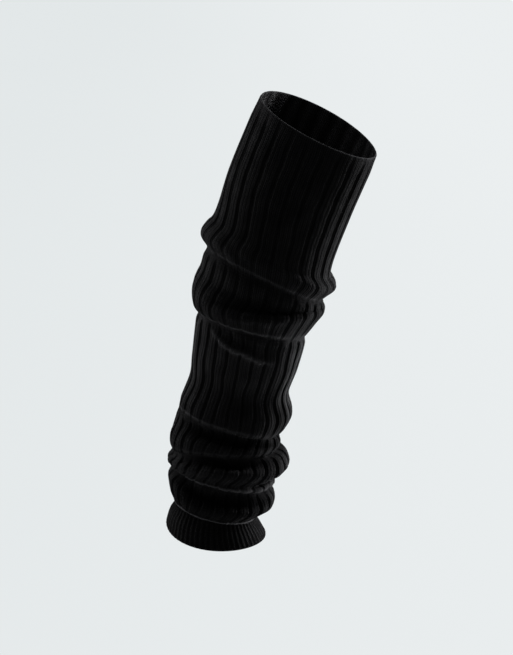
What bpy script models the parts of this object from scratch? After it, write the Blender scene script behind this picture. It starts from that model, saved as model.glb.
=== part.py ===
"""A ribbed knitted leg warmer, hollow, filled out as it is worn and pushed down into folds.

It is one tube of wide ribs and one cuff of fine ribs, and it is open at both ends.
+Z is up, the top leans to +X, and -Y is the front. The origin is in the middle of the
hollow at the ankle, just above the cuff, where a leg holds the leg warmer up.
"""
import math
from collections import namedtuple

import bmesh
import bpy
import numpy as np

for old in list(bpy.data.objects):
    bpy.data.objects.remove(old, do_unlink=True)

# ---------------------------------------------------------------- driving dimensions, metres
MM = 0.001
WALL = 2.0 * MM              # thickness of the knitted cloth between the ribs
RIB_RISE = 1.4 * MM          # how far a wide rib stands out from the wall
CUFF_RIB_RISE = 0.8 * MM     # how far a fine rib of the cuff stands out
WIDE_RIBS = 24               # ribs round the leg tube
FINE_RIBS = 56               # ribs round the cuff
TUCKED_RIB = 0.0             # share of its rise that a rib keeps where a tuck presses it flat
SEAM_GAP = 0.45 * MM         # between the tube's lower edge and the cuff, straight down
RIB_SHARE = (0.0, 0.2, 0.8)  # a groove, then the two shoulders of a wide rib, in shares of a rib

# ---------------------------------------------------------------- sections, millimetres
# A section is one closed ring round the leg, over the ribs. The columns are:
#   across, up   its middle, along X and Z
#   half         half of its width, along its own slope
#   lean         how far its right side hangs below its middle, and its left side above
#   nod          how far its front hangs below its middle, and its back above
#   sag          how far front and back both hang below the sides
#   skew         how far the right of its front hangs below, and the left of it above
#   swell        how much deeper than wide it is, front and back
#   twist        how far the ribs have turned there, in degrees
#   cuts         rings between this section and the next one
Section = namedtuple("Section", "name across up half lean nod sag skew swell twist cuts")

LEG_SECTIONS = (
    Section("top edge", 99.9, 388.2, 63.0, 27.2, 8.3, -1.2, 0.3, 0.0, 10.0, 0),
    Section("upper leg", 71.2, 320.1, 62.6, 24.1, 3.0, -1.0, 0.0, 0.0, 7.5, 0),
    Section("over roll 1", 55.2, 273.6, 62.2, 24.5, 0.0, -2.0, 1.0, 0.0, 0.0, 0),
    Section("roll 1 rise", 51.8, 266.0, 66.2, 25.8, 0.0, -2.5, 1.5, -4.0, -0.5, 1),
    Section("roll 1", 51.6, 256.2, 71.0, 26.4, 0.0, -3.0, 2.0, -5.0, -1.0, 1),
    Section("lip 1", 48.5, 244.2, 62.4, 26.5, 0.0, -0.8, 2.0, -1.0, -1.0, 1),
    Section("tuck 1", 47.6, 241.2, 61.0, 25.7, 0.0, -0.5, 2.0, -1.0, -1.0, 1),
    Section("band 2", 46.6, 236.0, 62.4, 24.4, 0.0, 2.0, 1.5, -1.0, -1.0, 1),
    Section("trough 2", 44.6, 228.9, 63.2, 19.4, 3.0, 11.0, 1.0, -4.0, -1.5, 1),
    Section("roll 2 rise", 42.8, 221.9, 66.2, 13.9, 2.0, 12.0, 1.0, -4.0, -2.0, 1),
    Section("roll 2", 42.0, 213.6, 67.2, 9.8, 1.0, 10.0, 1.5, -3.0, -3.0, 1),
    Section("roll 2 under", 38.0, 202.6, 62.6, 10.4, 0.0, 7.0, 2.0, -1.0, -4.0, 1),
    Section("lip 2", 35.1, 193.5, 56.6, 13.0, 0.0, 1.5, 2.0, 1.0, -5.0, 1),
    Section("tuck 2", 33.8, 190.5, 52.4, 12.5, 0.0, 1.5, 2.0, 1.0, -5.0, 1),
    Section("under lip 2", 33.4, 184.0, 54.8, 11.5, 0.0, 1.0, 1.0, 0.0, -6.0, 1),
    Section("calf", 27.9, 151.5, 52.9, 7.5, 0.0, 0.0, 0.0, 0.0, -6.5, 0),
    Section("low calf", 22.7, 126.8, 50.2, 10.5, 0.0, 0.0, 0.0, 0.0, -7.0, 1),
    Section("skirt 3", 20.0, 103.8, 56.6, 8.0, 0.0, -1.0, 1.0, -2.0, -5.0, 1),
    Section("lip 3", 13.0, 90.9, 53.4, 13.6, 0.0, -1.5, 1.5, 0.0, -5.0, 1),
    Section("tuck 3", 11.3, 87.6, 51.2, 12.6, 0.0, -2.0, 1.5, 0.0, -5.0, 1),
    Section("fold 4 rise", 9.9, 82.0, 53.0, 11.0, 0.0, -4.0, 1.0, 0.0, -4.0, 1),
    Section("fold 4", 7.3, 70.5, 55.6, 4.0, 0.0, -6.0, 2.0, 0.0, -3.0, 1),
    Section("lip 4", 6.7, 61.3, 54.6, 0.0, 0.0, -7.0, 3.0, 0.0, -3.0, 1),
    Section("tuck 4", 8.0, 57.6, 52.2, 0.5, 0.0, -6.0, 2.5, 0.0, -4.0, 1),
    Section("fold 5 rise", 11.0, 52.5, 58.4, -1.0, 0.0, -3.0, 1.0, 0.0, -5.0, 1),
    Section("fold 5", 11.6, 45.5, 62.0, 3.0, 0.0, -1.0, 1.0, 0.0, -2.0, 1),
    Section("fold 5 under", 3.8, 37.4, 53.8, 8.0, 0.0, 0.0, 1.0, 1.5, 3.0, 1),
    Section("lip 5", 4.9, 32.5, 54.6, 10.0, 0.0, -1.0, 1.0, 0.0, 6.0, 1),
    Section("tuck 5", 4.0, 29.5, 49.6, 10.5, 0.0, 0.0, 1.0, 0.0, 6.0, 1),
    Section("fold 6", 4.0, 19.5, 55.6, 11.5, 0.0, 4.0, 0.0, 0.0, 4.0, 1),
    Section("fold 6 under", 4.4, 5.6, 53.1, 8.4, 0.0, 3.5, 0.0, 0.0, 1.0, 1),
    Section("lip 6", -0.85, -4.0, 44.2, 9.5, 0.0, 2.5, 0.0, 0.0, 0.0, 1),
    Section("tuck 6", -1.4, -6.5, 42.0, 9.6, 0.0, 2.0, 0.0, 0.0, 0.0, 0),
    Section("seam", -2.2, -10.5, 42.4, 9.0, 0.0, 1.5, 0.0, 0.0, 0.0, 0),
)

CUFF_SECTIONS = (
    Section("seam", -2.2, -10.5, 43.0, 9.0, 0.0, 1.5, 0.0, 0.0, 0.0, 0),
    Section("under seam", -2.3, -12.2, 43.0, 8.7, 0.0, 1.5, 0.0, 0.0, 0.0, 0),
    Section("cuff", -3.2, -18.5, 46.0, 7.8, 0.5, 1.5, -0.5, 0.0, 0.0, 1),
    Section("hem", -2.3, -31.8, 51.4, 6.6, 1.5, 1.4, -1.5, 0.0, 0.0, 0),
)


# ---------------------------------------------------------------- the shape of the cloth
def ring(section, turns, cover):
    """The middle of the cloth round one section. turns is in turns, from +X by the front."""
    angle = 2 * math.pi * turns + math.radians(section.twist)
    side, front = np.cos(angle), np.sin(angle)
    half = section.half * MM - cover
    lean, nod, sag, skew = (MM * part for part in section[4:8])
    width = math.sqrt(half ** 2 - lean ** 2)
    depth = half + section.swell * MM * front ** 2
    return np.stack((
        section.across * MM + width * side,
        -depth * front,
        section.up * MM - lean * side - nod * front - sag * front ** 2 - skew * 2 * side * front,
    ), axis=-1)


def between(p0, p1, p2, p3, share):
    """A point between p1 and p2 on a centripetal Catmull-Rom curve through all four."""
    knots = [np.zeros(p0.shape[:-1] + (1,))]
    for a, b in ((p0, p1), (p1, p2), (p2, p3)):
        step = np.sqrt(np.linalg.norm(b - a, axis=-1, keepdims=True))
        knots.append(knots[-1] + np.maximum(step, 1e-6))
    k0, k1, k2, k3 = knots
    t = k1 + share * (k2 - k1)
    a1 = ((k1 - t) * p0 + (t - k0) * p1) / (k1 - k0)
    a2 = ((k2 - t) * p1 + (t - k1) * p2) / (k2 - k1)
    a3 = ((k3 - t) * p2 + (t - k2) * p3) / (k3 - k2)
    b1 = ((k2 - t) * a1 + (t - k0) * a2) / (k2 - k0)
    b2 = ((k3 - t) * a2 + (t - k1) * a3) / (k3 - k1)
    return ((k2 - t) * b1 + (t - k1) * b2) / (k2 - k1)


def rings(sections, turns, cover):
    """All rings of a stretch of cloth, from its upper edge to its lower edge."""
    held = [ring(section, turns, cover) for section in sections]
    held = [2 * held[0] - held[1]] + held + [2 * held[-1] - held[-2]]
    made = []
    for index, section in enumerate(sections[:-1]):
        for cut in range(section.cuts + 1):
            made.append(between(*held[index:index + 4], cut / (section.cuts + 1)))
    made.append(held[-2])
    return np.array(made)


def outward(cloth):
    """Unit normals of a stack of closed rings, away from the leg."""
    round_it = np.roll(cloth, -1, axis=1) - np.roll(cloth, 1, axis=1)
    down_it = np.gradient(cloth, axis=0)
    normal = np.cross(round_it, down_it)
    return normal / np.linalg.norm(normal, axis=-1, keepdims=True)


def rib_shares(sections):
    """How much of its rise a rib keeps on each ring. A tuck presses it flat."""
    held = [TUCKED_RIB if section.name.startswith("tuck") else 1.0 for section in sections]
    rows = []
    for section, here, after in zip(sections, held, held[1:]):
        rows += [here + (after - here) * cut / (section.cuts + 1) for cut in range(section.cuts + 1)]
    return np.array(rows + held[-1:])


def skin(sections, turns, cover, lift, rise=0.0):
    """The cloth's middle moved out by lift, and by the ribs' rise, which differs round it."""
    cloth = rings(sections, turns, cover)
    out = lift + rib_shares(sections)[:, None] * np.broadcast_to(rise, turns.shape)
    return cloth + outward(cloth) * out[..., None]


# ---------------------------------------------------------------- walls
def bent_grid(bm, points):
    """A flat grid of knitting, bent into a tube and sewn to itself along one groove."""
    rows, columns = points.shape[:2]
    grid = bmesh.ops.create_grid(bm, x_segments=columns, y_segments=rows - 1, size=1.0)["verts"]
    lines = [grid[start:start + columns + 1] for start in range(0, len(grid), columns + 1)]
    for line, row in zip(lines, points):
        for vert, point in zip(line, (*row, row[0])):
            vert.co = point
    bmesh.ops.weld_verts(bm, targetmap={line[-1]: line[0] for line in lines})
    return [line[:-1] for line in lines]


def close_edge(bm, outer, inner):
    """Faces across the cloth's thickness along one edge, one for each stretch of the inside."""
    stretch = len(outer) // len(inner)
    for index, vert in enumerate(inner):
        over = [outer[(index * stretch + step) % len(outer)] for step in range(stretch + 1)]
        bm.faces.new((*over, inner[(index + 1) % len(inner)], vert))


def knitted_wall(name, outside, inside, material):
    """One closed wall from an outer skin and an inner skin."""
    bm = bmesh.new()
    outer = bent_grid(bm, outside)
    inner = bent_grid(bm, inside)
    for edge in (0, -1):
        close_edge(bm, outer[edge], inner[edge])
    bmesh.ops.recalc_face_normals(bm, faces=bm.faces)
    mesh = bpy.data.meshes.new(name)
    bm.to_mesh(mesh)
    bm.free()
    mesh.materials.append(material)
    mesh.shade_smooth()
    mesh.set_sharp_from_angle(angle=math.radians(60))
    piece = bpy.data.objects.new(name, mesh)
    bpy.context.scene.collection.objects.link(piece)
    return piece


def black_yarn(name, shade):
    """Matt black wool-like yarn."""
    material = bpy.data.materials.new(name)
    material.use_nodes = True
    surface = material.node_tree.nodes["Principled BSDF"]
    surface.inputs["Base Color"].default_value = (shade, shade, shade * 1.06, 1.0)
    surface.inputs["Roughness"].default_value = 0.92
    surface.inputs["Metallic"].default_value = 0.0
    return material


def leg_tube():
    """The long tube of wide ribs, flat between its grooves, plain inside."""
    cover = WALL / 2 + RIB_RISE
    turns = np.array([(rib + share) / WIDE_RIBS for rib in range(WIDE_RIBS) for share in RIB_SHARE])
    rise = np.tile([0.0, RIB_RISE, RIB_RISE], WIDE_RIBS)
    outside = skin(LEG_SECTIONS, turns, cover, WALL / 2, rise)
    plain = np.arange(WIDE_RIBS) / WIDE_RIBS
    inside = skin(LEG_SECTIONS, plain, cover, -WALL / 2)
    return knitted_wall("leg_tube", outside, inside, black_yarn("leg yarn", 0.014))


def ankle_cuff():
    """The short cuff of fine ribs, a ridge and a groove each."""
    cover = WALL / 2 + CUFF_RIB_RISE
    turns = np.arange(2 * FINE_RIBS) / (2 * FINE_RIBS)
    rise = np.tile([0.0, CUFF_RIB_RISE], FINE_RIBS)
    outside = skin(CUFF_SECTIONS, turns, cover, WALL / 2, rise)
    plain = np.arange(FINE_RIBS // 2) / (FINE_RIBS // 2)
    inside = skin(CUFF_SECTIONS, plain, cover, -WALL / 2)
    for stack in (outside, inside):
        stack[0, :, 2] -= SEAM_GAP
    return knitted_wall("ankle_cuff", outside, inside, black_yarn("cuff yarn", 0.012))


leg_tube()
ankle_cuff()
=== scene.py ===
# %% [markdown]
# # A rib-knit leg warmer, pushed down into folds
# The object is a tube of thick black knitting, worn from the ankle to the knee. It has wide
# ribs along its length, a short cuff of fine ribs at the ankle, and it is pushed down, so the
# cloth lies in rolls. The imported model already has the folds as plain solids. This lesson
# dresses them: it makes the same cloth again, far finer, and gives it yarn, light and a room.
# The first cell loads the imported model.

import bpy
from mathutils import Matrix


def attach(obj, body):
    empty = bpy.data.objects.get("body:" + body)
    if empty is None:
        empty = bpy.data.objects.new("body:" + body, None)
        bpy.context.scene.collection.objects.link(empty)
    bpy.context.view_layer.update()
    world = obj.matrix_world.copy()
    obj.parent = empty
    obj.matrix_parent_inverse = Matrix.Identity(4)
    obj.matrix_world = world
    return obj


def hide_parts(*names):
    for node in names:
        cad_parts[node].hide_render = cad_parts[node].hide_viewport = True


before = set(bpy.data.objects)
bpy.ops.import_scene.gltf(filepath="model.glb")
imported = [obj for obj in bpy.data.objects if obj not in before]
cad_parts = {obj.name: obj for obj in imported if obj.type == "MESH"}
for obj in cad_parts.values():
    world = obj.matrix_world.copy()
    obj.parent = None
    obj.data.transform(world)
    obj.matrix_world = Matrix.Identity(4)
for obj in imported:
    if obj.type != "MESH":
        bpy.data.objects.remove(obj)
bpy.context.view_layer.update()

import math
from collections import namedtuple

import bmesh
import bpy
import numpy as np
from mathutils import Vector

MM = 0.001
print("nodes:", sorted(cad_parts))

# %% [markdown]
# ## The camera
# A product is usually looked at from a little above with a long lens, because a long lens
# keeps straight ribs straight. The camera is placed by three plain numbers: how far away it
# stands, how high it looks down from, and the point it looks at.

# %% Camera
CAMERA_DISTANCE = 1.6
CAMERA_RISE = math.radians(16)
AIM = Vector((0.040, 0.0, 0.185))
LENS = 88.0
SENSOR = 36.0


def stand_camera():
    """A camera in front of the leg warmer, looking down a little at its middle."""
    away = Vector((0.0, -math.cos(CAMERA_RISE), math.sin(CAMERA_RISE)))
    camera = bpy.data.objects.new("camera", bpy.data.cameras.new("camera"))
    camera.location = AIM + CAMERA_DISTANCE * away
    camera.rotation_euler = (-away).to_track_quat("-Z", "Y").to_euler()
    camera.data.lens = LENS
    camera.data.sensor_fit = "VERTICAL"
    camera.data.sensor_height = SENSOR
    camera.data.clip_end = 100.0
    bpy.context.scene.collection.objects.link(camera)
    return camera


bpy.context.scene.camera = stand_camera()
print("camera at", [round(part, 3) for part in bpy.context.scene.camera.location])

# %% [markdown]
# ## The room
# A leg warmer is held up by the leg in it, so here it floats, well above a pale floor. The
# floor could be a plane with a wall behind it, but then other views would show its edges. A
# round floor whose rim sweeps up has no edge from any side. Blender makes it with one spin: a
# line from the middle, out and up, is turned a full turn round Z. In a studio such a floor has
# lamps of its own, until it is evenly pale. Here its paper glows by itself, a little more on
# the right, so the lamps for the black cloth can't spoil it.

# %% Floor
FLOOR_LEVEL = -0.65
FLOOR_REACH = 14.0
SWEEP = 3.0
WALL_TOP = 4.2
FLOOR_STEPS = 96
SWEEP_STEPS = 8
GLOW_LEFT = (0.764, 0.801, 0.809)
GLOW_RIGHT = (0.830, 0.860, 0.868)
GLOW_SPAN = 1.6
CLOUDS = 0.12


def round_floor():
    """A pale round floor that turns up into a wall all round."""
    bm = bmesh.new()
    flat = FLOOR_REACH - SWEEP
    line = [bm.verts.new((reach, 0.0, FLOOR_LEVEL)) for reach in (0.0, 1.0, 4.0, flat)]
    for step in range(1, SWEEP_STEPS + 1):
        angle = math.radians(90) * step / SWEEP_STEPS
        across = flat + SWEEP * math.sin(angle)
        up = FLOOR_LEVEL + SWEEP * (1 - math.cos(angle))
        line.append(bm.verts.new((across, 0.0, up)))
    line.append(bm.verts.new((FLOOR_REACH, 0.0, WALL_TOP)))
    edges = [bm.edges.new(pair) for pair in zip(line, line[1:])]
    bmesh.ops.spin(bm, geom=line + edges, cent=(0, 0, 0), axis=(0, 0, 1), dvec=(0, 0, 0),
                   angle=2 * math.pi, steps=FLOOR_STEPS, use_merge=True, use_duplicate=False)
    bmesh.ops.remove_doubles(bm, verts=bm.verts, dist=0.001)
    bmesh.ops.recalc_face_normals(bm, faces=bm.faces)
    if sum(face.normal.z for face in bm.faces) < 0:
        bmesh.ops.reverse_faces(bm, faces=bm.faces)
    mesh = bpy.data.meshes.new("floor")
    bm.to_mesh(mesh)
    bm.free()
    mesh.shade_smooth()
    floor = bpy.data.objects.new("floor", mesh)
    bpy.context.scene.collection.objects.link(floor)
    return floor


def pale_paper():
    """Off-white paper that is evenly lit, a little less on the left and with faint clouds."""
    material = bpy.data.materials.new("pale paper")
    material.use_nodes = True
    nodes, links = material.node_tree.nodes, material.node_tree.links
    surface = nodes["Principled BSDF"]
    surface.inputs["Base Color"].default_value = (0.0, 0.0, 0.0, 1.0)
    surface.inputs["Roughness"].default_value = 1.0
    surface.inputs["Specular IOR Level"].default_value = 0.0
    surface.inputs["Emission Strength"].default_value = 1.0
    place = nodes.new("ShaderNodeTexCoord")
    cloud = nodes.new("ShaderNodeTexNoise")
    cloud.inputs["Scale"].default_value = 0.5
    cloud.inputs["Detail"].default_value = 1.0
    apart = nodes.new("ShaderNodeSeparateXYZ")
    side = nodes.new("ShaderNodeMapRange")
    side.interpolation_type = "SMOOTHSTEP"
    side.inputs["From Min"].default_value = -GLOW_SPAN
    side.inputs["From Max"].default_value = GLOW_SPAN
    mixed = nodes.new("ShaderNodeMath")
    mixed.operation = "MULTIPLY_ADD"
    mixed.inputs[1].default_value = CLOUDS
    shade = nodes.new("ShaderNodeValToRGB")
    shade.color_ramp.elements[0].color = (*GLOW_LEFT, 1.0)
    shade.color_ramp.elements[1].color = (*GLOW_RIGHT, 1.0)
    links.new(place.outputs["Object"], cloud.inputs["Vector"])
    links.new(place.outputs["Object"], apart.inputs["Vector"])
    links.new(apart.outputs["X"], side.inputs["Value"])
    links.new(cloud.outputs["Fac"], mixed.inputs[0])
    links.new(side.outputs["Result"], mixed.inputs[2])
    links.new(mixed.outputs["Value"], shade.inputs["Fac"])
    links.new(shade.outputs["Color"], surface.inputs["Emission Color"])
    return material


floor = round_floor()
floor.data.materials.append(pale_paper())
print("floor faces:", len(floor.data.polygons))

# %% [markdown]
# ## The light
# Black knitting is hard to show: lit from the front it turns into a flat grey shape. Light
# from behind on both sides runs along the ribs instead and leaves the front dark. So a tall
# soft box hangs behind each side, and the right one is the brightest. Low boxes light the
# parts of the rolls that face down, as a bright table does. The front gets only a little.
# All boxes are aimed at the middle of the object, and the camera doesn't see them.

# %% Lights
LIT_PLACE = Vector((0.05, 0.0, 0.20))
TALL = (0.4, 1.4)
SMALL = (0.4, 0.4)
LARGE = (0.8, 0.8)
Lamp = namedtuple("Lamp", "name place size power")
LAMPS = (
    Lamp("right box", (1.09, 0.60, 0.35), TALL, 255.0),
    Lamp("low right box", (0.79, 0.43, -0.40), SMALL, 110.0),
    Lamp("low right box beside", (0.89, -0.15, -0.40), SMALL, 9.0),
    Lamp("low right box in front", (0.60, -0.65, -0.40), SMALL, 1.5),
    Lamp("left box", (-0.99, 0.60, 0.35), TALL, 60.0),
    Lamp("left box beside", (-1.13, 0.21, 0.35), TALL, 19.0),
    Lamp("left box behind", (-0.72, 0.92, 0.35), TALL, 103.0),
    Lamp("low left box", (-0.79, -0.15, -0.40), SMALL, 8.5),
    Lamp("left box in front", (-0.55, -1.04, 0.35), TALL, 5.0),
    Lamp("right box in front", (0.65, -1.04, 0.35), TALL, 2.0),
    Lamp("top box", (0.05, 0.0, 1.8), LARGE, 28.0),
)


def hang_lamp(lamp):
    """A soft box: a flat rectangle of light turned to what it lights."""
    light = bpy.data.lights.new(lamp.name, "AREA")
    light.shape = "RECTANGLE"
    light.size, light.size_y = lamp.size
    light.energy = lamp.power
    box = bpy.data.objects.new(lamp.name, light)
    box.location = lamp.place
    box.rotation_euler = (LIT_PLACE - box.location).to_track_quat("-Z", "Y").to_euler()
    box.visible_camera = False
    bpy.context.scene.collection.objects.link(box)


def dark_room():
    """No light from the room itself, so only the lamps and the floor light the cloth."""
    world = bpy.data.worlds.new("room")
    world.use_nodes = True
    world.node_tree.nodes["Background"].inputs["Strength"].default_value = 0.0
    bpy.context.scene.world = world


for lamp in LAMPS:
    hang_lamp(lamp)
dark_room()
bpy.context.scene.view_settings.view_transform = "Standard"
print("lamps:", [lamp.name for lamp in LAMPS])

# %% [markdown]
# ## The folds as a table
# The cloth is one long tube, so any height of it is a closed ring. A few dozen rings describe
# every fold: where a ring's middle is, how wide it is, and how it tilts. Nearly the same rings
# made the plain solids, so the fine cloth lies within a few millimetres of them. Each line is
# one ring, in millimetres and degrees, from the knee down. Rings that lie close together make
# a sharp fold. Four columns are for the knitting: how far the ribs turn, how they bunch, how
# high they stand, and how much light and shade is painted on the yarn. The last one sets
# how fine the mesh is there.

# %% Sections of the leg
# across, up   the ring's middle, along X and Z
# half         half of its width, along its own slope
# lean         how far its right side hangs below its middle, and its left side above
# nod          how far its front hangs below its middle, and its back above
# sag          how far front and back both hang below the sides
# skew         how far the right of its front hangs below, and the left of it above
# swell        how much deeper than wide it is, front and back
# twist        how far the ribs have turned there, in degrees
# bunch        how much closer together the ribs lie in front, and further apart at the back
# ribs         how much of their height the ribs keep there, from 0, pressed flat, to 1
# grey         painted light and shade on the yarn of that ring: lighter above 1, darker below 1
# cuts         rows of mesh between this ring and the next one
Section = namedtuple("Section", "name across up half lean nod sag skew swell twist bunch ribs grey cuts")
LEG_SECTIONS = (
    Section("top edge", 100.2, 388.7, 63.8, 26.4, 9.5, -1.2, 0.0, -2.0, 10.5, 0.00, 0.70, 0.92, 11),
    Section("upper leg", 71.6, 320.1, 64.0, 24.4, 3.0, -1.0, 0.0, -1.0, 6.0, 0.04, 0.72, 1.05, 8),
    Section("over roll 1", 55.6, 273.6, 63.9, 24.9, 0.0, -2.0, 1.0, 1.0, 0.0, 0.09, 0.72, 1.00, 4),
    Section("roll 1 rise", 52.2, 266.0, 67.4, 26.1, 0.0, -2.5, 1.5, -4.0, -1.0, 0.08, 0.56, 1.15, 4),
    Section("roll 1", 52.2, 256.2, 72.8, 26.4, 0.0, -4.2, 1.6, -7.5, -0.5, 0.06, 0.45, 1.25, 5),
    Section("lip 1", 48.9, 244.2, 64.6, 26.5, 0.0, -4.5, 0.9, -1.0, -2.0, 0.06, 0.30, 0.95, 2),
    Section("tuck 1", 48.2, 241.2, 63.8, 25.7, 0.0, -4.2, 0.9, -1.0, -2.5, 0.07, 0.00, 0.95, 3),
    Section("band 2", 47.3, 236.0, 64.6, 24.4, 0.0, -1.0, 0.7, -1.0, -2.3, 0.09, 0.75, 1.05, 3),
    Section("trough 2", 45.3, 228.9, 64.0, 19.4, 3.0, 6.5, -1.0, -7.5, -0.5, 0.06, 0.85, 1.10, 3),
    Section("roll 2 rise", 42.8, 221.9, 66.2, 13.9, 2.0, 3.5, -2.0, -2.0, 0.5, 0.04, 0.70, 1.00, 3),
    Section("roll 2", 42.0, 213.6, 67.2, 9.8, 1.0, 0.5, -2.5, 0.0, 1.3, 0.03, 0.60, 1.00, 4),
    Section("roll 2 under", 38.0, 202.6, 62.6, 10.4, 0.0, 1.0, -1.0, -1.0, -1.0, 0.05, 0.50, 1.05, 4),
    Section("lip 2", 35.3, 193.5, 57.2, 13.0, 0.0, -2.5, 0.1, 1.0, -4.0, 0.08, 0.35, 1.25, 2),
    Section("tuck 2", 35.4, 190.5, 55.4, 12.5, 0.0, -2.5, 0.1, 1.0, -5.0, 0.10, 0.00, 1.45, 3),
    Section("under lip 2", 34.2, 184.0, 55.6, 11.5, 0.0, -2.0, -0.5, 2.0, -6.0, 0.12, 0.90, 1.75, 16),
    Section("calf", 27.9, 151.5, 52.9, 7.5, 0.0, 0.0, 0.0, 0.5, -6.3, 0.10, 1.00, 1.85, 7),
    Section("low calf", 22.7, 126.8, 50.2, 10.5, 0.0, 0.0, 0.0, -2.0, -6.0, 0.13, 1.00, 1.65, 8),
    Section("skirt 3", 20.0, 103.8, 56.6, 8.0, 0.0, -1.5, 0.6, -2.0, -5.3, 0.08, 0.90, 1.20, 5),
    Section("lip 3", 13.5, 90.9, 54.3, 13.6, 0.0, -2.7, 0.4, 0.0, -9.5, 0.06, 0.35, 0.90, 2),
    Section("tuck 3", 10.8, 87.6, 52.4, 12.6, 0.0, -3.2, 0.4, -2.0, -11.0, 0.06, 0.00, 0.85, 3),
    Section("fold 4 rise", 10.4, 82.0, 52.5, 11.0, 0.0, -4.8, 0.2, -5.0, -13.0, 0.06, 0.90, 0.95, 4),
    Section("fold 4", 8.5, 70.5, 55.9, 4.0, 0.0, -6.0, 1.4, 0.5, -9.0, 0.06, 0.90, 1.05, 4),
    Section("lip 4", 6.7, 61.3, 54.6, 0.0, 0.0, -7.0, 1.7, -1.0, -6.0, 0.08, 0.50, 0.95, 2),
    Section("tuck 4", 8.0, 57.6, 52.2, 0.5, 0.0, -6.0, 1.2, -2.0, -3.0, 0.10, 0.00, 1.00, 3),
    Section("fold 5 rise", 11.0, 52.5, 58.4, -1.0, 0.0, -4.0, 0.2, -8.0, 0.0, 0.12, 0.80, 1.20, 4),
    Section("fold 5", 11.6, 45.5, 62.0, 3.0, 0.0, -5.0, 1.0, -1.0, 2.0, 0.12, 0.90, 1.30, 4),
    Section("fold 5 under", 3.8, 37.4, 53.8, 8.0, 0.0, -1.5, 1.0, 2.0, 4.0, 0.12, 0.80, 1.10, 3),
    Section("lip 5", 5.4, 32.5, 55.2, 10.0, 0.0, -1.0, 1.0, -0.5, 5.0, 0.10, 0.40, 0.95, 2),
    Section("tuck 5", 4.0, 29.5, 49.6, 10.5, 0.0, 0.0, 1.0, -2.0, 6.0, 0.08, 0.00, 0.90, 3),
    Section("fold 6", 4.0, 19.5, 55.6, 11.5, 0.0, 1.0, 0.0, -8.0, 8.0, 0.04, 0.80, 0.95, 5),
    Section("fold 6 under", 4.0, 5.6, 53.0, 8.4, 0.0, -3.0, 0.0, 1.5, 9.0, 0.00, 0.80, 0.85, 4),
    Section("lip 6", -2.4, -4.0, 45.1, 9.5, 0.0, -0.1, 0.0, 0.5, 10.0, 0.00, 0.30, 0.55, 4),
    Section("seam", -2.6, -7.4, 45.0, 9.3, 0.0, -0.6, 0.0, 0.0, 10.0, 0.00, 0.00, 0.55, 0),
)
CUFF_SECTIONS = (
    Section("seam", -2.6, -6.4, 41.4, 9.3, 0.0, -0.6, 0.0, 0.0, 0.0, 0.00, 1.00, 0.50, 3),
    Section("under seam", -2.8, -12.2, 43.4, 8.7, 0.0, -0.8, 0.0, 0.0, 0.0, 0.00, 1.00, 0.75, 4),
    Section("cuff", -3.1, -18.5, 47.5, 7.8, 0.5, 0.3, -0.5, 0.0, 0.0, 0.00, 1.00, 0.85, 8),
    Section("hem", -1.8, -31.8, 52.8, 6.6, 1.4, 1.4, -1.5, 0.0, 0.0, 0.00, 1.00, 0.70, 0),
)
print("rings:", len(LEG_SECTIONS), "on the leg,", len(CUFF_SECTIONS), "on the cuff")

# %% [markdown]
# ## From rings to cloth
# Between two rings the cloth follows a smooth curve. A Catmull-Rom curve goes through every
# ring, and its centripetal kind never loops where rings lie close, which matters in a fold.
# NumPy works out all points of a row at once. A point round the ring is given in turns: it
# starts on the right side, and a quarter turn on is the front. A few rows of mesh more lie
# beside the top edge, which is rounded.

# %% Rings
EDGE_ROWS = (0.007, 0.018, 0.04)


def ring(section, turns, cover):
    """The middle of the cloth round one section."""
    angle = 2 * math.pi * turns + math.radians(section.twist)
    angle = angle + section.bunch * np.cos(angle)
    side, front = np.cos(angle), np.sin(angle)
    half = section.half * MM - cover
    lean, nod, sag, skew = (MM * part for part in section[4:8])
    width = math.sqrt(half ** 2 - lean ** 2)
    depth = half + section.swell * MM * front ** 2
    return np.stack((
        section.across * MM + width * side,
        -depth * front,
        section.up * MM - lean * side - nod * front - sag * front ** 2 - skew * 2 * side * front,
    ), axis=-1)


def between(p0, p1, p2, p3, share):
    """A point between p1 and p2 on a centripetal Catmull-Rom curve through all four."""
    knots = [np.zeros(p0.shape[:-1] + (1,))]
    for a, b in ((p0, p1), (p1, p2), (p2, p3)):
        step = np.sqrt(np.linalg.norm(b - a, axis=-1, keepdims=True))
        knots.append(knots[-1] + np.maximum(step, 1e-6))
    k0, k1, k2, k3 = knots
    t = k1 + share * (k2 - k1)
    a1 = ((k1 - t) * p0 + (t - k0) * p1) / (k1 - k0)
    a2 = ((k2 - t) * p1 + (t - k1) * p2) / (k2 - k1)
    a3 = ((k3 - t) * p2 + (t - k2) * p3) / (k3 - k2)
    b1 = ((k2 - t) * a1 + (t - k0) * a2) / (k2 - k0)
    b2 = ((k3 - t) * a2 + (t - k1) * a3) / (k3 - k1)
    return ((k2 - t) * b1 + (t - k1) * b2) / (k2 - k1)


def levels(sections, spare=1):
    """Where the rows of mesh lie: 0 is the first section, 1 the next one, and so on."""
    rows = [0.0, *EDGE_ROWS]
    for index, section in enumerate(sections[:-1]):
        rows += [index + cut / (section.cuts // spare + 1) for cut in range(section.cuts // spare + 1)]
    return np.array(sorted({*rows, len(sections) - 1.0}))


def cloth_at(sections, rows, turns, cover):
    """The middle of the cloth on each of these rows."""
    held = [ring(section, turns, cover) for section in sections]
    held = [2 * held[0] - held[1]] + held + [2 * held[-1] - held[-2]]
    made = []
    for row in rows:
        index = min(int(row), len(sections) - 2)
        made.append(between(*held[index:index + 4], row - index))
    return np.array(made)


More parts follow.
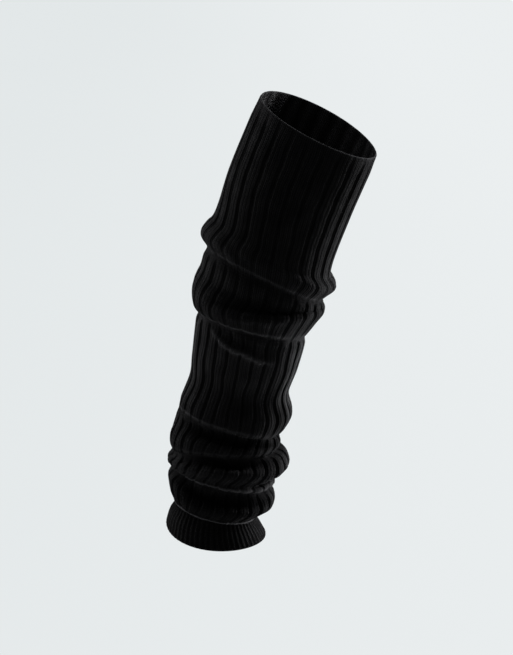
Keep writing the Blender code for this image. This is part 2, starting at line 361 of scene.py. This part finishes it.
def outward(cloth):
    """Unit normals of a stack of closed rings, away from the leg."""
    round_it = np.roll(cloth, -1, axis=1) - np.roll(cloth, 1, axis=1)
    down_it = np.gradient(cloth, axis=0)
    normal = np.cross(round_it, down_it)
    return normal / np.linalg.norm(normal, axis=-1, keepdims=True)


print("rows of mesh down the leg:", len(levels(LEG_SECTIONS)))

# %% [markdown]
# ## The ribs
# A wide rib is three columns of knit stitches that stand out, and the groove beside it is one
# column of purl stitches that lies back. A profile gives the height of the cloth across one
# rib: up a short shoulder, over three soft humps, and down again. Inside the tube the groove's
# column stands out instead, as it does on real ribbing. The mesh has more columns near the
# groove, where the profile bends most. The table says how much of their height the ribs keep:
# nothing in a tuck, and little on a sharp edge. The bound-off edge at the top holds them flat.

# %% Rib profile
WIDE_RIBS = 24
FINE_RIBS = 56
WALL = 2.0 * MM
RIB_RISE = 1.4 * MM
RIB_ROUNDING = 0.45
SHOULDER = 0.20
GROOVE_DEPTH = 0.8 * MM
PURL_RISE = 0.9 * MM
WALES = 3
WALE_START = 0.1
WALE_RISE = 0.8 * MM
WALE_SHADE = 0.55
PURL_SHADE = 0.35
CUFF_RIB_RISE = 0.8 * MM
RIB_COLUMNS = 18
CROWD = 0.45
EDGE_PLACES = (0.0, 0.1, 0.22)
EDGE_HOLDS = (0.2, 0.4, 1.0)


def soft_step(low, high, value):
    """0 below low, 1 above high, and a smooth rise between them."""
    share = np.clip((value - low) / (high - low), 0.0, 1.0)
    return share * share * (3 - 2 * share)


def rib_columns(ribs, columns, crowd):
    """Turns of all columns, closer together near each groove."""
    even = np.arange(columns) / columns
    share = even - crowd * np.sin(2 * math.pi * even) / (2 * math.pi)
    return (np.arange(ribs)[:, None] + share[None, :]).ravel() / ribs


def rib_height(turns):
    """Across the ribs: 0 in a groove and 1 on a rib."""
    share = (turns * WIDE_RIBS) % 1.0
    return soft_step(0.0, SHOULDER, np.minimum(share, 1 - share))


def wales(turns):
    """The three columns of knit stitches on each rib: 1 on a column and 0 between two."""
    share = (turns * WIDE_RIBS) % 1.0
    return 0.5 - 0.5 * np.cos(2 * math.pi * WALES * (share - WALE_START) / (1 - 2 * WALE_START))


def wale_shade(turns):
    """Between two columns the yarn lies a little deeper, so it gets a little less light."""
    return 1 - WALE_SHADE * rib_height(turns) * (1 - wales(turns))


def wide_rib(turns):
    """Height over the wall across the wide ribs, from the groove to the rib's top."""
    share = (turns * WIDE_RIBS) % 1.0
    round_top = 1 - RIB_ROUNDING * (2 * share - 1) ** 2
    high = rib_height(turns)
    return high * (RIB_RISE * round_top + WALE_RISE * wales(turns)) - GROOVE_DEPTH * (1 - high)


def purl_rib(turns):
    """How far the groove's column stands out into the tube."""
    return PURL_RISE * (1 - rib_height(turns))


def purl_shade(turns):
    """Inside the tube, cloth behind a groove gets the most light, and behind a rib the least."""
    return 1 - PURL_SHADE + PURL_SHADE * np.cos(2 * math.pi * WIDE_RIBS * turns)


def column_at(sections, name, rows):
    """One column of the table on each row of mesh."""
    return np.interp(rows, range(len(sections)), [getattr(section, name) for section in sections])


def rib_hold(rows):
    """How much of their rise the ribs keep on each row of the leg."""
    return column_at(LEG_SECTIONS, "ribs", rows) * np.interp(rows, EDGE_PLACES, EDGE_HOLDS)


print("columns round the leg:", len(rib_columns(WIDE_RIBS, RIB_COLUMNS, CROWD)))

# %% [markdown]
# ## Creases between the rolls
# Pushed-down cloth doesn't only roll. It also creases slantwise where one side is pushed
# further than the other. Each crease is a soft trough or ridge along a line on the cloth. The
# line is given by a few points, each a turn round the leg and a place between two rings. The
# cloth near the line is moved in or out, most on the line and less away from it, and a crease
# fades at both its ends. Little light gets into a deep one, so its yarn gets painted shade. The
# brow over the calf is pulled into a ridge, and its yarn gets a painted highlight that makes it
# paler. The creases at the back and the sides are like those in front. Waves under a millimetre
# high do the rest.

# %% Creases
# push, reach  how far it moves the cloth out, and how far from its line, in millimetres
# line         points: the turn, the ring above, and how far on towards the next ring
# dark, pale   how much painted shade and how much painted highlight it puts on its yarn
Crease = namedtuple("Crease", "name push reach line dark pale", defaults=(0.0, 0.0))
CREASE_STEPS = 40
FADE = 0.6
NEARBY = 1.5
DARK_NARROWER = 1.1
PALE_NARROWER = 1.6
CREASES = (
    Crease("under band 2", -3.2, 4.5, (
        (0.41, "roll 2 rise", 0.3), (0.36, "roll 2 rise", 0.15), (0.31, "trough 2", 0.9),
        (0.26, "trough 2", 0.8), (0.20, "trough 2", 0.85), (0.12, "roll 2 rise", 0.7)), dark=0.6),
    Crease("shelf of roll 2", 2.0, 4.5, (
        (0.36, "roll 2", 0.2), (0.29, "roll 2", 0.0), (0.24, "roll 2 rise", 0.9),
        (0.18, "roll 2 rise", 0.8), (0.10, "roll 2 rise", 0.3))),
    Crease("pocket under roll 2", -3.6, 7.0, (
        (0.41, "tuck 2", 0.7), (0.35, "under lip 2", 0.05), (0.29, "under lip 2", 0.16),
        (0.22, "under lip 2", 0.25), (0.15, "under lip 2", 0.20)), dark=0.3),
    Crease("brow of the pocket", 3.6, 2.5, (
        (0.42, "tuck 2", 0.9), (0.37, "under lip 2", 0.22), (0.33, "under lip 2", 0.37),
        (0.28, "under lip 2", 0.42), (0.23, "under lip 2", 0.56),
        (0.17, "under lip 2", 0.62)), pale=1.0),
    Crease("recess under lip 3", -5.0, 6.0, (
        (0.40, "fold 4 rise", 0.2), (0.37, "fold 4 rise", 0.4), (0.31, "fold 4 rise", 0.4),
        (0.25, "fold 4 rise", 0.5), (0.18, "fold 4 rise", 0.5), (0.12, "fold 4 rise", 0.6),
        (0.08, "fold 4 rise", 0.4)), dark=0.85),
    Crease("recess under lip 4", -5.0, 5.5, (
        (0.35, "tuck 4", 0.1), (0.32, "tuck 4", 0.4), (0.28, "tuck 4", 0.85),
        (0.24, "fold 5 rise", 0.2), (0.20, "fold 5 rise", 0.25), (0.16, "fold 5 rise", 0.05),
        (0.12, "tuck 4", 0.8)), dark=0.85),
    Crease("recess under lip 5", -7.0, 8.0, (
        (0.45, "tuck 5", 0.3), (0.38, "tuck 5", 0.6), (0.34, "tuck 5", 0.95), (0.30, "fold 6", 0.25),
        (0.23, "fold 6", 0.2), (0.17, "fold 6", 0.05), (0.12, "tuck 5", 0.9),
        (0.05, "tuck 5", 0.5)), dark=0.8),
    Crease("slant below fold 5", -2.4, 2.6, (
        (0.02, "fold 5", 0.2), (0.06, "fold 5", 0.6), (0.09, "fold 5 under", 0.1),
        (0.14, "fold 5 under", 0.8))),
    Crease("ridge over the slant", 1.8, 2.6, (
        (0.03, "fold 5", 0.0), (0.09, "fold 5", 0.2), (0.13, "fold 5", 0.7),
        (0.16, "fold 5 under", 0.3))),
    Crease("ridge under the slant", 1.6, 2.2, (
        (0.02, "fold 5 under", 0.1), (0.06, "fold 5 under", 0.5), (0.11, "lip 5", 0.0))),
    Crease("dent in fold 6", -1.8, 4.0, (
        (0.05, "fold 6", 0.1), (0.12, "fold 6", 0.45), (0.19, "fold 6", 0.5))),
    Crease("dent in roll 1", -1.4, 5.0, (
        (0.38, "roll 1 rise", 0.2), (0.33, "roll 1", 0.1), (0.30, "roll 1", 0.7))),
    Crease("ruffle in roll 1, right", -1.3, 3.0, (
        (0.06, "over roll 1", 0.6), (0.04, "roll 1", 0.3), (0.03, "roll 1", 0.9))),
    Crease("pull in fold 4", -1.6, 4.5, (
        (0.34, "fold 4 rise", 0.4), (0.26, "fold 4", 0.0), (0.14, "fold 4 rise", 0.9))),
    Crease("back under band 2", -2.6, 4.5, (
        (0.62, "band 2", 0.8), (0.72, "trough 2", 0.3), (0.84, "trough 2", 0.5)), dark=0.5),
    Crease("back pocket", -2.6, 5.5, (
        (0.92, "tuck 2", 0.8), (0.84, "under lip 2", 0.15), (0.74, "under lip 2", 0.3)), dark=0.5),
    Crease("back brow", 2.0, 2.8, (
        (0.94, "under lip 2", 0.1), (0.85, "under lip 2", 0.42), (0.72, "under lip 2", 0.6))),
    Crease("back slant", -2.2, 3.5, (
        (0.60, "fold 5", 0.1), (0.66, "fold 5", 0.7), (0.74, "fold 5 under", 0.6))),
    Crease("back pull", -2.0, 4.0, (
        (0.82, "fold 4 rise", 0.6), (0.74, "fold 4", 0.2), (0.62, "fold 4", 0.3))),
    Crease("back of fold 6", -2.0, 4.0, (
        (0.62, "fold 6", 0.2), (0.72, "fold 6", 0.5), (0.82, "fold 6", 0.9))),
    Crease("dent in roll 1, back", -1.8, 5.5, (
        (0.66, "roll 1 rise", 0.1), (0.72, "roll 1", 0.2), (0.80, "roll 1", 0.6))),
)
# size         height of a wave in millimetres
# times_round  how many waves lie round the leg
# times_down   how fast its phase runs down the leg
# start        where it starts
Wave = namedtuple("Wave", "size times_round times_down start")
SLOW_WAVES = (Wave(0.18, 3, 0.9, 0.0), Wave(0.12, 5, -0.6, 1.0))
QUICK_WAVES = (Wave(0.25, 9, 1.7, 0.0), Wave(0.20, 13, -2.3, 2.0))
FOLDED_FROM = (3.0, 4.5)


def place_of(name, share):
    """A place down the leg, counted in sections, given as a share of the way past one."""
    names = [section.name for section in LEG_SECTIONS]
    return names.index(name) + share


def crease_points(crease, cover):
    """Points along a crease, on the cloth, how strong it is at each, and its places."""
    places = [place_of(name, share) for _, name, share in crease.line]
    along = np.linspace(0, len(places) - 1, CREASE_STEPS)
    turn = np.interp(along, range(len(places)), [stop[0] for stop in crease.line])
    place = np.interp(along, range(len(places)), places)
    points = [cloth_at(LEG_SECTIONS, [row], np.array([where]), cover)[0, 0]
              for row, where in zip(place, turn)]
    strength = np.sin(np.linspace(0, math.pi, CREASE_STEPS)) ** FADE
    return np.array(points), strength, place


def most_near(away, strength):
    """How much of a crease is felt at each point: 1 on its line, and less further away."""
    return (np.exp(-away ** 2) * strength).max(axis=-1)


def crease_lift(cloth, rows, cover):
    """How far creases move each point of the cloth, how dark they make it, and how pale."""
    lift, dark, pale = np.zeros((3, *cloth.shape[:2]))
    for crease in CREASES:
        points, strength, place = crease_points(crease, cover)
        near = (rows > place.min() - NEARBY) & (rows < place.max() + NEARBY)
        away = np.linalg.norm(cloth[near][:, :, None, :] - points[None, None], axis=-1)
        away = away / (crease.reach * MM)
        lift[near] += crease.push * MM * most_near(away, strength)
        darker = crease.dark * most_near(DARK_NARROWER * away, strength)
        paler = crease.pale * most_near(PALE_NARROWER * away, strength)
        dark[near] = np.maximum(dark[near], darker)
        pale[near] = np.maximum(pale[near], paler)
    return lift, dark, pale


def waves(table, down, turns):
    """The sum of a few waves that run round the leg and down it."""
    down, about = down[:, None], 2 * math.pi * turns[None, :]
    return sum(wave.size * MM
               * np.sin(wave.times_round * about + wave.times_down * down + wave.start)
               for wave in table)


def sway(rows, turns):
    """Soft lumps, less than a millimetre high, because no hand folds evenly."""
    folded = soft_step(*FOLDED_FROM, rows)[:, None]
    return waves(SLOW_WAVES, rows, turns) + folded * waves(QUICK_WAVES, rows, turns)


print("creases:", [crease.name for crease in CREASES])

# %% [markdown]
# ## Knitting the mesh
# Both skins of the cloth start as a flat grid, like the flat piece that a knitter would sew
# into a tube. Each row of the grid is bent round the leg, and the last column is welded onto
# the first. The grid carries a UV map, counted in stitches: one unit across is one column of
# stitches, and one unit down is one row. Two numbers ride along on the corners of the mesh:
# how much light gets to a corner, painted as shade, and how much painted highlight it gets on
# a sharp edge. The yarn reads all three, so the stitches run along the ribs through every fold.

# %% Skins
STITCHES_A_RIB = 4
STITCHES_A_FINE_RIB = 2
STITCH_HEIGHT = 2.7 * MM
# light carries painted shade; the last field carries a painted highlight for sharp edges
Skin = namedtuple("Skin", "points across down light rub")


def unrolled(cloth):
    """How far down the cloth each row lies, in metres along it, averaged round the ring."""
    steps = np.linalg.norm(np.diff(cloth, axis=0), axis=-1).mean(axis=1)
    return np.concatenate(([0.0], np.cumsum(steps)))


def bent_grid(bm, skin, layers):
    """A flat grid of knitting, bent into a tube and sewn to itself along one groove."""
    stitches, light, rub = layers
    rows, columns = skin.points.shape[:2]
    grid = bmesh.ops.create_grid(bm, x_segments=columns, y_segments=rows - 1, size=1.0)["verts"]
    lines = [grid[start:start + columns + 1] for start in range(0, len(grid), columns + 1)]
    spot = {}
    for row, line in enumerate(lines):
        for column, vert in enumerate(line):
            vert.co = skin.points[row, column % columns]
            vert[light] = skin.light[row, column % columns]
            vert[rub] = skin.rub[row, column % columns]
            spot[vert] = (skin.across[column], skin.down[row])
    for face in {face for line in lines for vert in line for face in vert.link_faces}:
        for loop in face.loops:
            loop[stitches].uv = spot[loop.vert]
    bmesh.ops.weld_verts(bm, targetmap={line[-1]: line[0] for line in lines})
    return [line[:-1] for line in lines]


def close_edge(bm, outer, inner):
    """Faces across the cloth's thickness along one edge, one for each stretch of the inside."""
    stretch = len(outer) // len(inner)
    for index, vert in enumerate(inner):
        over = [outer[(index * stretch + step) % len(outer)] for step in range(stretch + 1)]
        bm.faces.new((*over, inner[(index + 1) % len(inner)], vert))


def knitted_piece(name, outside, inside):
    """One closed wall of cloth from its two skins."""
    bm = bmesh.new()
    numbers = bm.verts.layers.float
    layers = (bm.loops.layers.uv.new("stitches"), numbers.new("light"), numbers.new("rub"))
    outer = bent_grid(bm, outside, layers)
    inner = bent_grid(bm, inside, layers)
    for edge in (0, -1):
        close_edge(bm, outer[edge], inner[edge])
    bmesh.ops.recalc_face_normals(bm, faces=bm.faces)
    mesh = bpy.data.meshes.new(name)
    bm.to_mesh(mesh)
    bm.free()
    mesh.shade_smooth()
    piece = bpy.data.objects.new(name, mesh)
    bpy.context.scene.collection.objects.link(piece)
    triangles = sum(len(face.vertices) - 2 for face in mesh.polygons)
    print(name, "has", triangles, "triangles")
    return piece


# %% [markdown]
# ## The leg tube
# The outer skin is raised by the ribs, and the creases move both skins, so the wall keeps its
# thickness. Real ribs aren't ruled straight either, so they wander a little sideways. The
# inner skin needs only half as many columns and rows, because it is plain but for one low
# ridge behind each groove. The lower edge of each roll is where the cloth turns under. A
# painted highlight runs along it, a lighter line as thin as one row of stitches. The table of
# edges says how bright, in front and at the back.

# %% Leg tube
GROOVE_LIGHT = 0.5
INSIDE_LIGHT = 2.4
DEEPEST_SHADE = 0.8
BROW_FLATTENS = 0.6
EDGE_WALL = 0.45
EDGE_ROUND = 1.6 * MM
WANDER_WAVES = (Wave(0.28, 5, 1 / (4.5 * MM), 0.0), Wave(0.28, -8, 1 / (7.5 * MM), 1.0))
# Painted highlight along each roll edge: where it lies, how wide it is, and how bright in front and at
# the back
Edge = namedtuple("Edge", "name share width front back")
HIGHLIT_EDGES = (
    Edge("top edge", 0.0, 0.8, 0.4, 0.4),
    Edge("lip 1", -0.1, 0.8, 0.6, 0.2),
    Edge("lip 2", -0.1, 0.9, 0.7, 0.2),
    Edge("lip 3", -0.1, 0.8, 0.5, 0.2),
    Edge("lip 4", -0.2, 0.8, 0.15, 0.15),
    Edge("lip 5", -0.1, 0.9, 0.7, 0.2),
    Edge("lip 6", 0.6, 0.9, 0.9, 0.2),
)


def painted_edge_highlight(cloth, rows, turns):
    """Where a painted highlight lies along the edges of the rolls."""
    steps = np.linalg.norm(np.diff(cloth, axis=0), axis=-1)
    down = np.concatenate((np.zeros((1, len(turns))), np.cumsum(steps, axis=0)))
    front = 0.5 + 0.5 * np.sin(2 * math.pi * turns)
    light = np.zeros(down.shape)
    for edge in HIGHLIT_EDGES:
        place = place_of(edge.name, edge.share)
        at = np.array([np.interp(place, rows, column) for column in down.T])
        away = (down - at[None, :]) / (edge.width * MM)
        light = np.maximum(light, np.exp(-away ** 2) * (edge.back + (edge.front - edge.back) * front))
    return light


def thinned(cloth):
    """The share of its thickness that the cloth has near its two edges, which are rounded."""
    down = unrolled(cloth)
    to_edge = np.minimum(down, down[-1] - down)
    return EDGE_WALL + (1 - EDGE_WALL) * np.sqrt(soft_step(0.0, EDGE_ROUND, to_edge))


def sideways(cloth):
    """Unit vectors along each ring, from rib to rib."""
    along = np.roll(cloth, -1, axis=1) - np.roll(cloth, 1, axis=1)
    return along / np.linalg.norm(along, axis=-1, keepdims=True)


def leg_skin(turns, spare, base, ribs):
    """One skin of the leg. base is the wall's plain lift, and ribs is what the ribs add to it."""
    cover = WALL / 2 + RIB_RISE
    rows = levels(LEG_SECTIONS, spare)
    cloth = cloth_at(LEG_SECTIONS, rows, turns, cover)
    down = unrolled(cloth)
    creased, dark, pale = crease_lift(cloth, rows, cover)
    hold = rib_hold(rows)[:, None] * (1 - BROW_FLATTENS * pale)
    wall = (base + hold * ribs[None, :]) * thinned(cloth)[:, None]
    lift = creased + sway(rows, turns) + wall
    open_up = (1 - hold * (1 - rib_height(turns))[None, :]) * wale_shade(turns)[None, :]
    light = (GROOVE_LIGHT + (1 - GROOVE_LIGHT) * open_up) * (1 - DEEPEST_SHADE * dark)
    # painted light and shade, ring by ring, from the table
    light = light * column_at(LEG_SECTIONS, "grey", rows)[:, None]
    # painted highlight on the roll edges and along the brow
    rub = np.maximum(painted_edge_highlight(cloth, rows, turns), pale)
    wander = waves(WANDER_WAVES, down, turns)
    points = cloth + outward(cloth) * lift[..., None] + sideways(cloth) * wander[..., None]
    across = np.append(turns, 1.0) * WIDE_RIBS * STITCHES_A_RIB
    return Skin(points, across, down / STITCH_HEIGHT, light, rub), cloth


def knit_leg():
    """The long tube of wide ribs."""
    turns = rib_columns(WIDE_RIBS, RIB_COLUMNS, CROWD)
    few = turns[::2]
    outside, cloth = leg_skin(turns, 1, WALL / 2, wide_rib(turns))
    inside, _ = leg_skin(few, 2, -WALL / 2, -purl_rib(few))
    inside = inside._replace(light=np.broadcast_to(INSIDE_LIGHT * purl_shade(few), inside.light.shape))
    print("cloth down the leg:", round(unrolled(cloth)[-1] / MM), "mm")
    girths = np.linalg.norm(np.roll(cloth, -1, axis=1) - cloth, axis=-1).sum(axis=1)
    print("girth:", round(girths.min() / MM), "to", round(girths.max() / MM), "mm")
    return knitted_piece("leg_cloth", outside, inside)


leg_cloth = knit_leg()

# %% [markdown]
# ## The ankle cuff
# The cuff is the same kind of tube, but each knit column has its own purl column beside it,
# so its ribs are narrow and springy. One cosine wave a rib is enough for their shape.

# %% Ankle cuff
CUFF_COLUMNS = 8
CUFF_INNER_COLUMNS = 2
CUFF_GROOVE_LIGHT = 0.65
RIBBED_AFTER = 4


def cuff_skin(turns, lift, wave):
    """One skin of the cuff."""
    rows = levels(CUFF_SECTIONS)
    cloth = cloth_at(CUFF_SECTIONS, rows, turns, WALL / 2 + CUFF_RIB_RISE)
    down = unrolled(cloth) / STITCH_HEIGHT
    ribbed = np.clip(np.arange(len(cloth)) / RIBBED_AFTER, 0.0, 1.0)[:, None]
    out = (lift + CUFF_RIB_RISE * wave[None, :] * ribbed) * thinned(cloth)[:, None]
    points = cloth + outward(cloth) * out[..., None]
    light = CUFF_GROOVE_LIGHT + (1 - CUFF_GROOVE_LIGHT) * wave[None, :]
    # painted light and shade, ring by ring, from the table
    light = light * column_at(CUFF_SECTIONS, "grey", rows)[:, None]
    across = np.append(turns, 1.0) * FINE_RIBS * STITCHES_A_FINE_RIB
    return Skin(points, across, down, light, 0 * light)


def knit_cuff():
    """The short cuff of fine ribs."""
    turns = rib_columns(FINE_RIBS, CUFF_COLUMNS, 0.0)
    few = rib_columns(FINE_RIBS, CUFF_INNER_COLUMNS, 0.0)
    outside = cuff_skin(turns, WALL / 2, 0.5 - 0.5 * np.cos(2 * math.pi * FINE_RIBS * turns))
    inside = cuff_skin(few, -WALL / 2, 0 * few)
    print("cloth down the cuff:", round(outside.down[-1] * STITCH_HEIGHT / MM), "mm")
    return knitted_piece("cuff_cloth", outside, inside)


cuff_cloth = knit_cuff()

# %% [markdown]
# ## Black yarn
# Knit stitches are small Vs in columns. The material draws them from the UV map: inside one
# column, the two legs of a V slope up to the sides, so the row that a point lies in depends on
# how far it is from the column's middle. A dome across each leg and a dome along it give the
# height, which goes to a Bump node. Noise on Object coordinates adds loose fibres. Deep in a
# groove the yarn gets little light, so its colour goes down with the light number of the mesh.
# On an edge with a painted highlight it goes up. Wool looks brighter where it turns away, because its
# fibres catch light, and Sheen does that.

# %% Yarn
YARN_DARK = 0.0004
YARN_LIGHT = 0.0022
# the yarn colour of the painted highlight on edges
YARN_HIGHLIGHT = 0.012
LIT_LOW = 0.1
LIT_RISE = 2.0
SHEEN_LOW = 0.0032
SHEEN_RISE = 0.0056
SMOOTH = 0.8
ROUGH = 1.0
STITCH_SLOPE = 0.8
STITCH_FLATNESS = 2.2
STITCH_LOW = 0.35
LEG_RELIEF = 0.6 * MM
CUFF_RELIEF = 0.5 * MM
FIBRE_HEIGHT = 0.35
FIBRE_SCALE = 1400.0
PATCH_SCALE = 70.0


def chain(nodes, links, operation, *values):
    """One Math node; values are numbers or the sockets that feed it."""
    node = nodes.new("ShaderNodeMath")
    node.operation = operation
    for index, value in enumerate(values):
        if isinstance(value, (int, float)):
            node.inputs[index].default_value = value
        else:
            links.new(value, node.inputs[index])
    return node.outputs["Value"]


def dome(nodes, links, share):
    """1 in the middle of a share from 0 to 1, and 0 at both its ends."""
    apart = chain(nodes, links, "ABSOLUTE", chain(nodes, links, "MULTIPLY_ADD", share, 2.0, -1.0))
    return chain(nodes, links, "SUBTRACT", 1.0, chain(nodes, links, "POWER", apart, STITCH_FLATNESS))


def stitch_height(nodes, links):
    """Columns of V stitches from the UV map, as a height from 0 to 1."""
    uv = nodes.new("ShaderNodeUVMap")
    uv.uv_map = "stitches"
    parts = nodes.new("ShaderNodeSeparateXYZ")
    links.new(uv.outputs["UV"], parts.inputs["Vector"])
    column = chain(nodes, links, "FRACT", chain(nodes, links, "ADD", parts.outputs["X"], 0.5))
    from_middle = chain(nodes, links, "ABSOLUTE", chain(nodes, links, "MULTIPLY_ADD", column, 2.0, -1.0))
    sloped = chain(nodes, links, "MULTIPLY_ADD", from_middle, STITCH_SLOPE, parts.outputs["Y"])
    stitch = chain(nodes, links, "FRACT", sloped)
    along = chain(nodes, links, "MULTIPLY_ADD", dome(nodes, links, stitch), 1 - STITCH_LOW, STITCH_LOW)
    return chain(nodes, links, "MULTIPLY", dome(nodes, links, from_middle), along)


def carried(nodes, name):
    """A number that the corners of the mesh carry."""
    node = nodes.new("ShaderNodeAttribute")
    node.attribute_name = name
    return node.outputs["Fac"]


def cloud_noise(nodes, links, scale, detail):
    """Noise that stays on the cloth."""
    place = nodes.new("ShaderNodeTexCoord")
    noise = nodes.new("ShaderNodeTexNoise")
    noise.inputs["Scale"].default_value = scale
    noise.inputs["Detail"].default_value = detail
    links.new(place.outputs["Object"], noise.inputs["Vector"])
    return noise.outputs["Fac"]


def black_yarn(name, relief):
    """Matt black yarn in columns of V stitches, which stand out by this relief."""
    material = bpy.data.materials.new(name)
    material.use_nodes = True
    nodes, links = material.node_tree.nodes, material.node_tree.links
    surface = nodes["Principled BSDF"]
    height = stitch_height(nodes, links)
    fibres = cloud_noise(nodes, links, FIBRE_SCALE, 3.0)
    patches = cloud_noise(nodes, links, PATCH_SCALE, 4.0)
    bump = nodes.new("ShaderNodeBump")
    bump.inputs["Strength"].default_value = 1.0
    bump.inputs["Distance"].default_value = relief
    links.new(chain(nodes, links, "MULTIPLY_ADD", fibres, FIBRE_HEIGHT, height), bump.inputs["Height"])
    links.new(bump.outputs["Normal"], surface.inputs["Normal"])
    # Stitch tops are painted lighter and the hollows between stitches painted darker, as painted shade;
    # the noise patches vary this at random.
    lit = chain(nodes, links, "MULTIPLY", height, patches)
    lit = chain(nodes, links, "MULTIPLY_ADD", lit, LIT_RISE, LIT_LOW)
    # painted shade from the mesh's light number: grooves, creases, gaps between wales, and painted light
    # and shade ring by ring
    light = carried(nodes, "light")
    shade = chain(nodes, links, "MULTIPLY_ADD", lit, YARN_LIGHT - YARN_DARK, YARN_DARK)
    shade = chain(nodes, links, "MULTIPLY", shade, light)
    # painted highlight: the yarn is painted lighter along the roll edges and the brow
    shade = chain(nodes, links, "MULTIPLY_ADD", carried(nodes, "rub"), YARN_HIGHLIGHT, shade)
    colour = nodes.new("ShaderNodeCombineColor")
    for side, tint in (("Red", 1.0), ("Green", 1.0), ("Blue", 1.05)):
        links.new(chain(nodes, links, "MULTIPLY", shade, tint), colour.inputs[side])
    links.new(colour.outputs["Color"], surface.inputs["Base Color"])
    rough = chain(nodes, links, "MULTIPLY_ADD", patches, ROUGH - SMOOTH, SMOOTH)
    links.new(rough, surface.inputs["Roughness"])
    # the sheen weight follows the same painted light and shade
    fuzz = chain(nodes, links, "MULTIPLY_ADD", lit, SHEEN_RISE, SHEEN_LOW)
    links.new(chain(nodes, links, "MULTIPLY", light, fuzz), surface.inputs["Sheen Weight"])
    surface.inputs["Metallic"].default_value = 0.0
    surface.inputs["Specular IOR Level"].default_value = 0.0
    surface.inputs["Sheen Roughness"].default_value = 0.5
    surface.inputs["Sheen Tint"].default_value = (0.9, 0.9, 0.92, 1.0)
    return material


leg_cloth.data.materials.append(black_yarn("leg yarn", LEG_RELIEF))
cuff_cloth.data.materials.append(black_yarn("cuff yarn", CUFF_RELIEF))
print("materials:", [material.name for material in bpy.data.materials])

# %% [markdown]
# ## Handing over
# Each piece rides on the model's one body and replaces its plain solid. A piece of cloth also
# states the size that it was cut, or here knitted, to.

# %% What stands for what
LEG_FLAT = (0.37, 0.46)
CUFF_FLAT = (0.27, 0.029)
for piece, node, yarn, flat, held in (
        (leg_cloth, "leg_tube", "leg yarn", LEG_FLAT, "gathered"),
        (cuff_cloth, "ankle_cuff", "cuff yarn", CUFF_FLAT, "stretched"),
):
    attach(piece, "root")
    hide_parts(node)
    print(piece.name, "stands for", node, "and is cut to", flat, "m")
